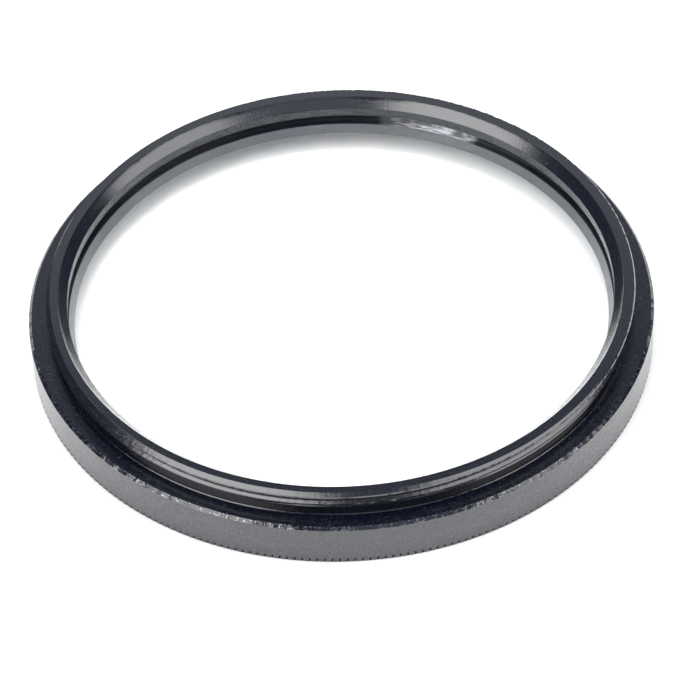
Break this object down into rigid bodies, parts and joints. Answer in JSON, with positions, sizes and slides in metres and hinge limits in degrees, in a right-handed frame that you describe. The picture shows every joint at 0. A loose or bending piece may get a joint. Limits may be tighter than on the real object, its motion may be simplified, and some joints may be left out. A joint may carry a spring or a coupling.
{
  "type": "uv filter",
  "caption": "Round screw-in lens filter: a knurled metal ring with a male thread behind and a female thread in front, holding a clear flat glass with a slotted retaining ring.",
  "frame": {"origin": "centre of the front rim's plane, which the filter stands on", "axes": "+Z along the optical axis from the front rim to the rear male thread, X and Y across the ring"},
  "size_m": [0.052, 0.052, 0.006],
  "materials": {
    "anodised": "black anodised, satin",
    "glass": "polished, coated",
    "ring_anodised": "black anodised, satin"
  },
  "bodies": {
    "root": {"frame": "anodised", "glass": "glass", "retaining_ring": "ring_anodised"}
  },
  "joints": []
}
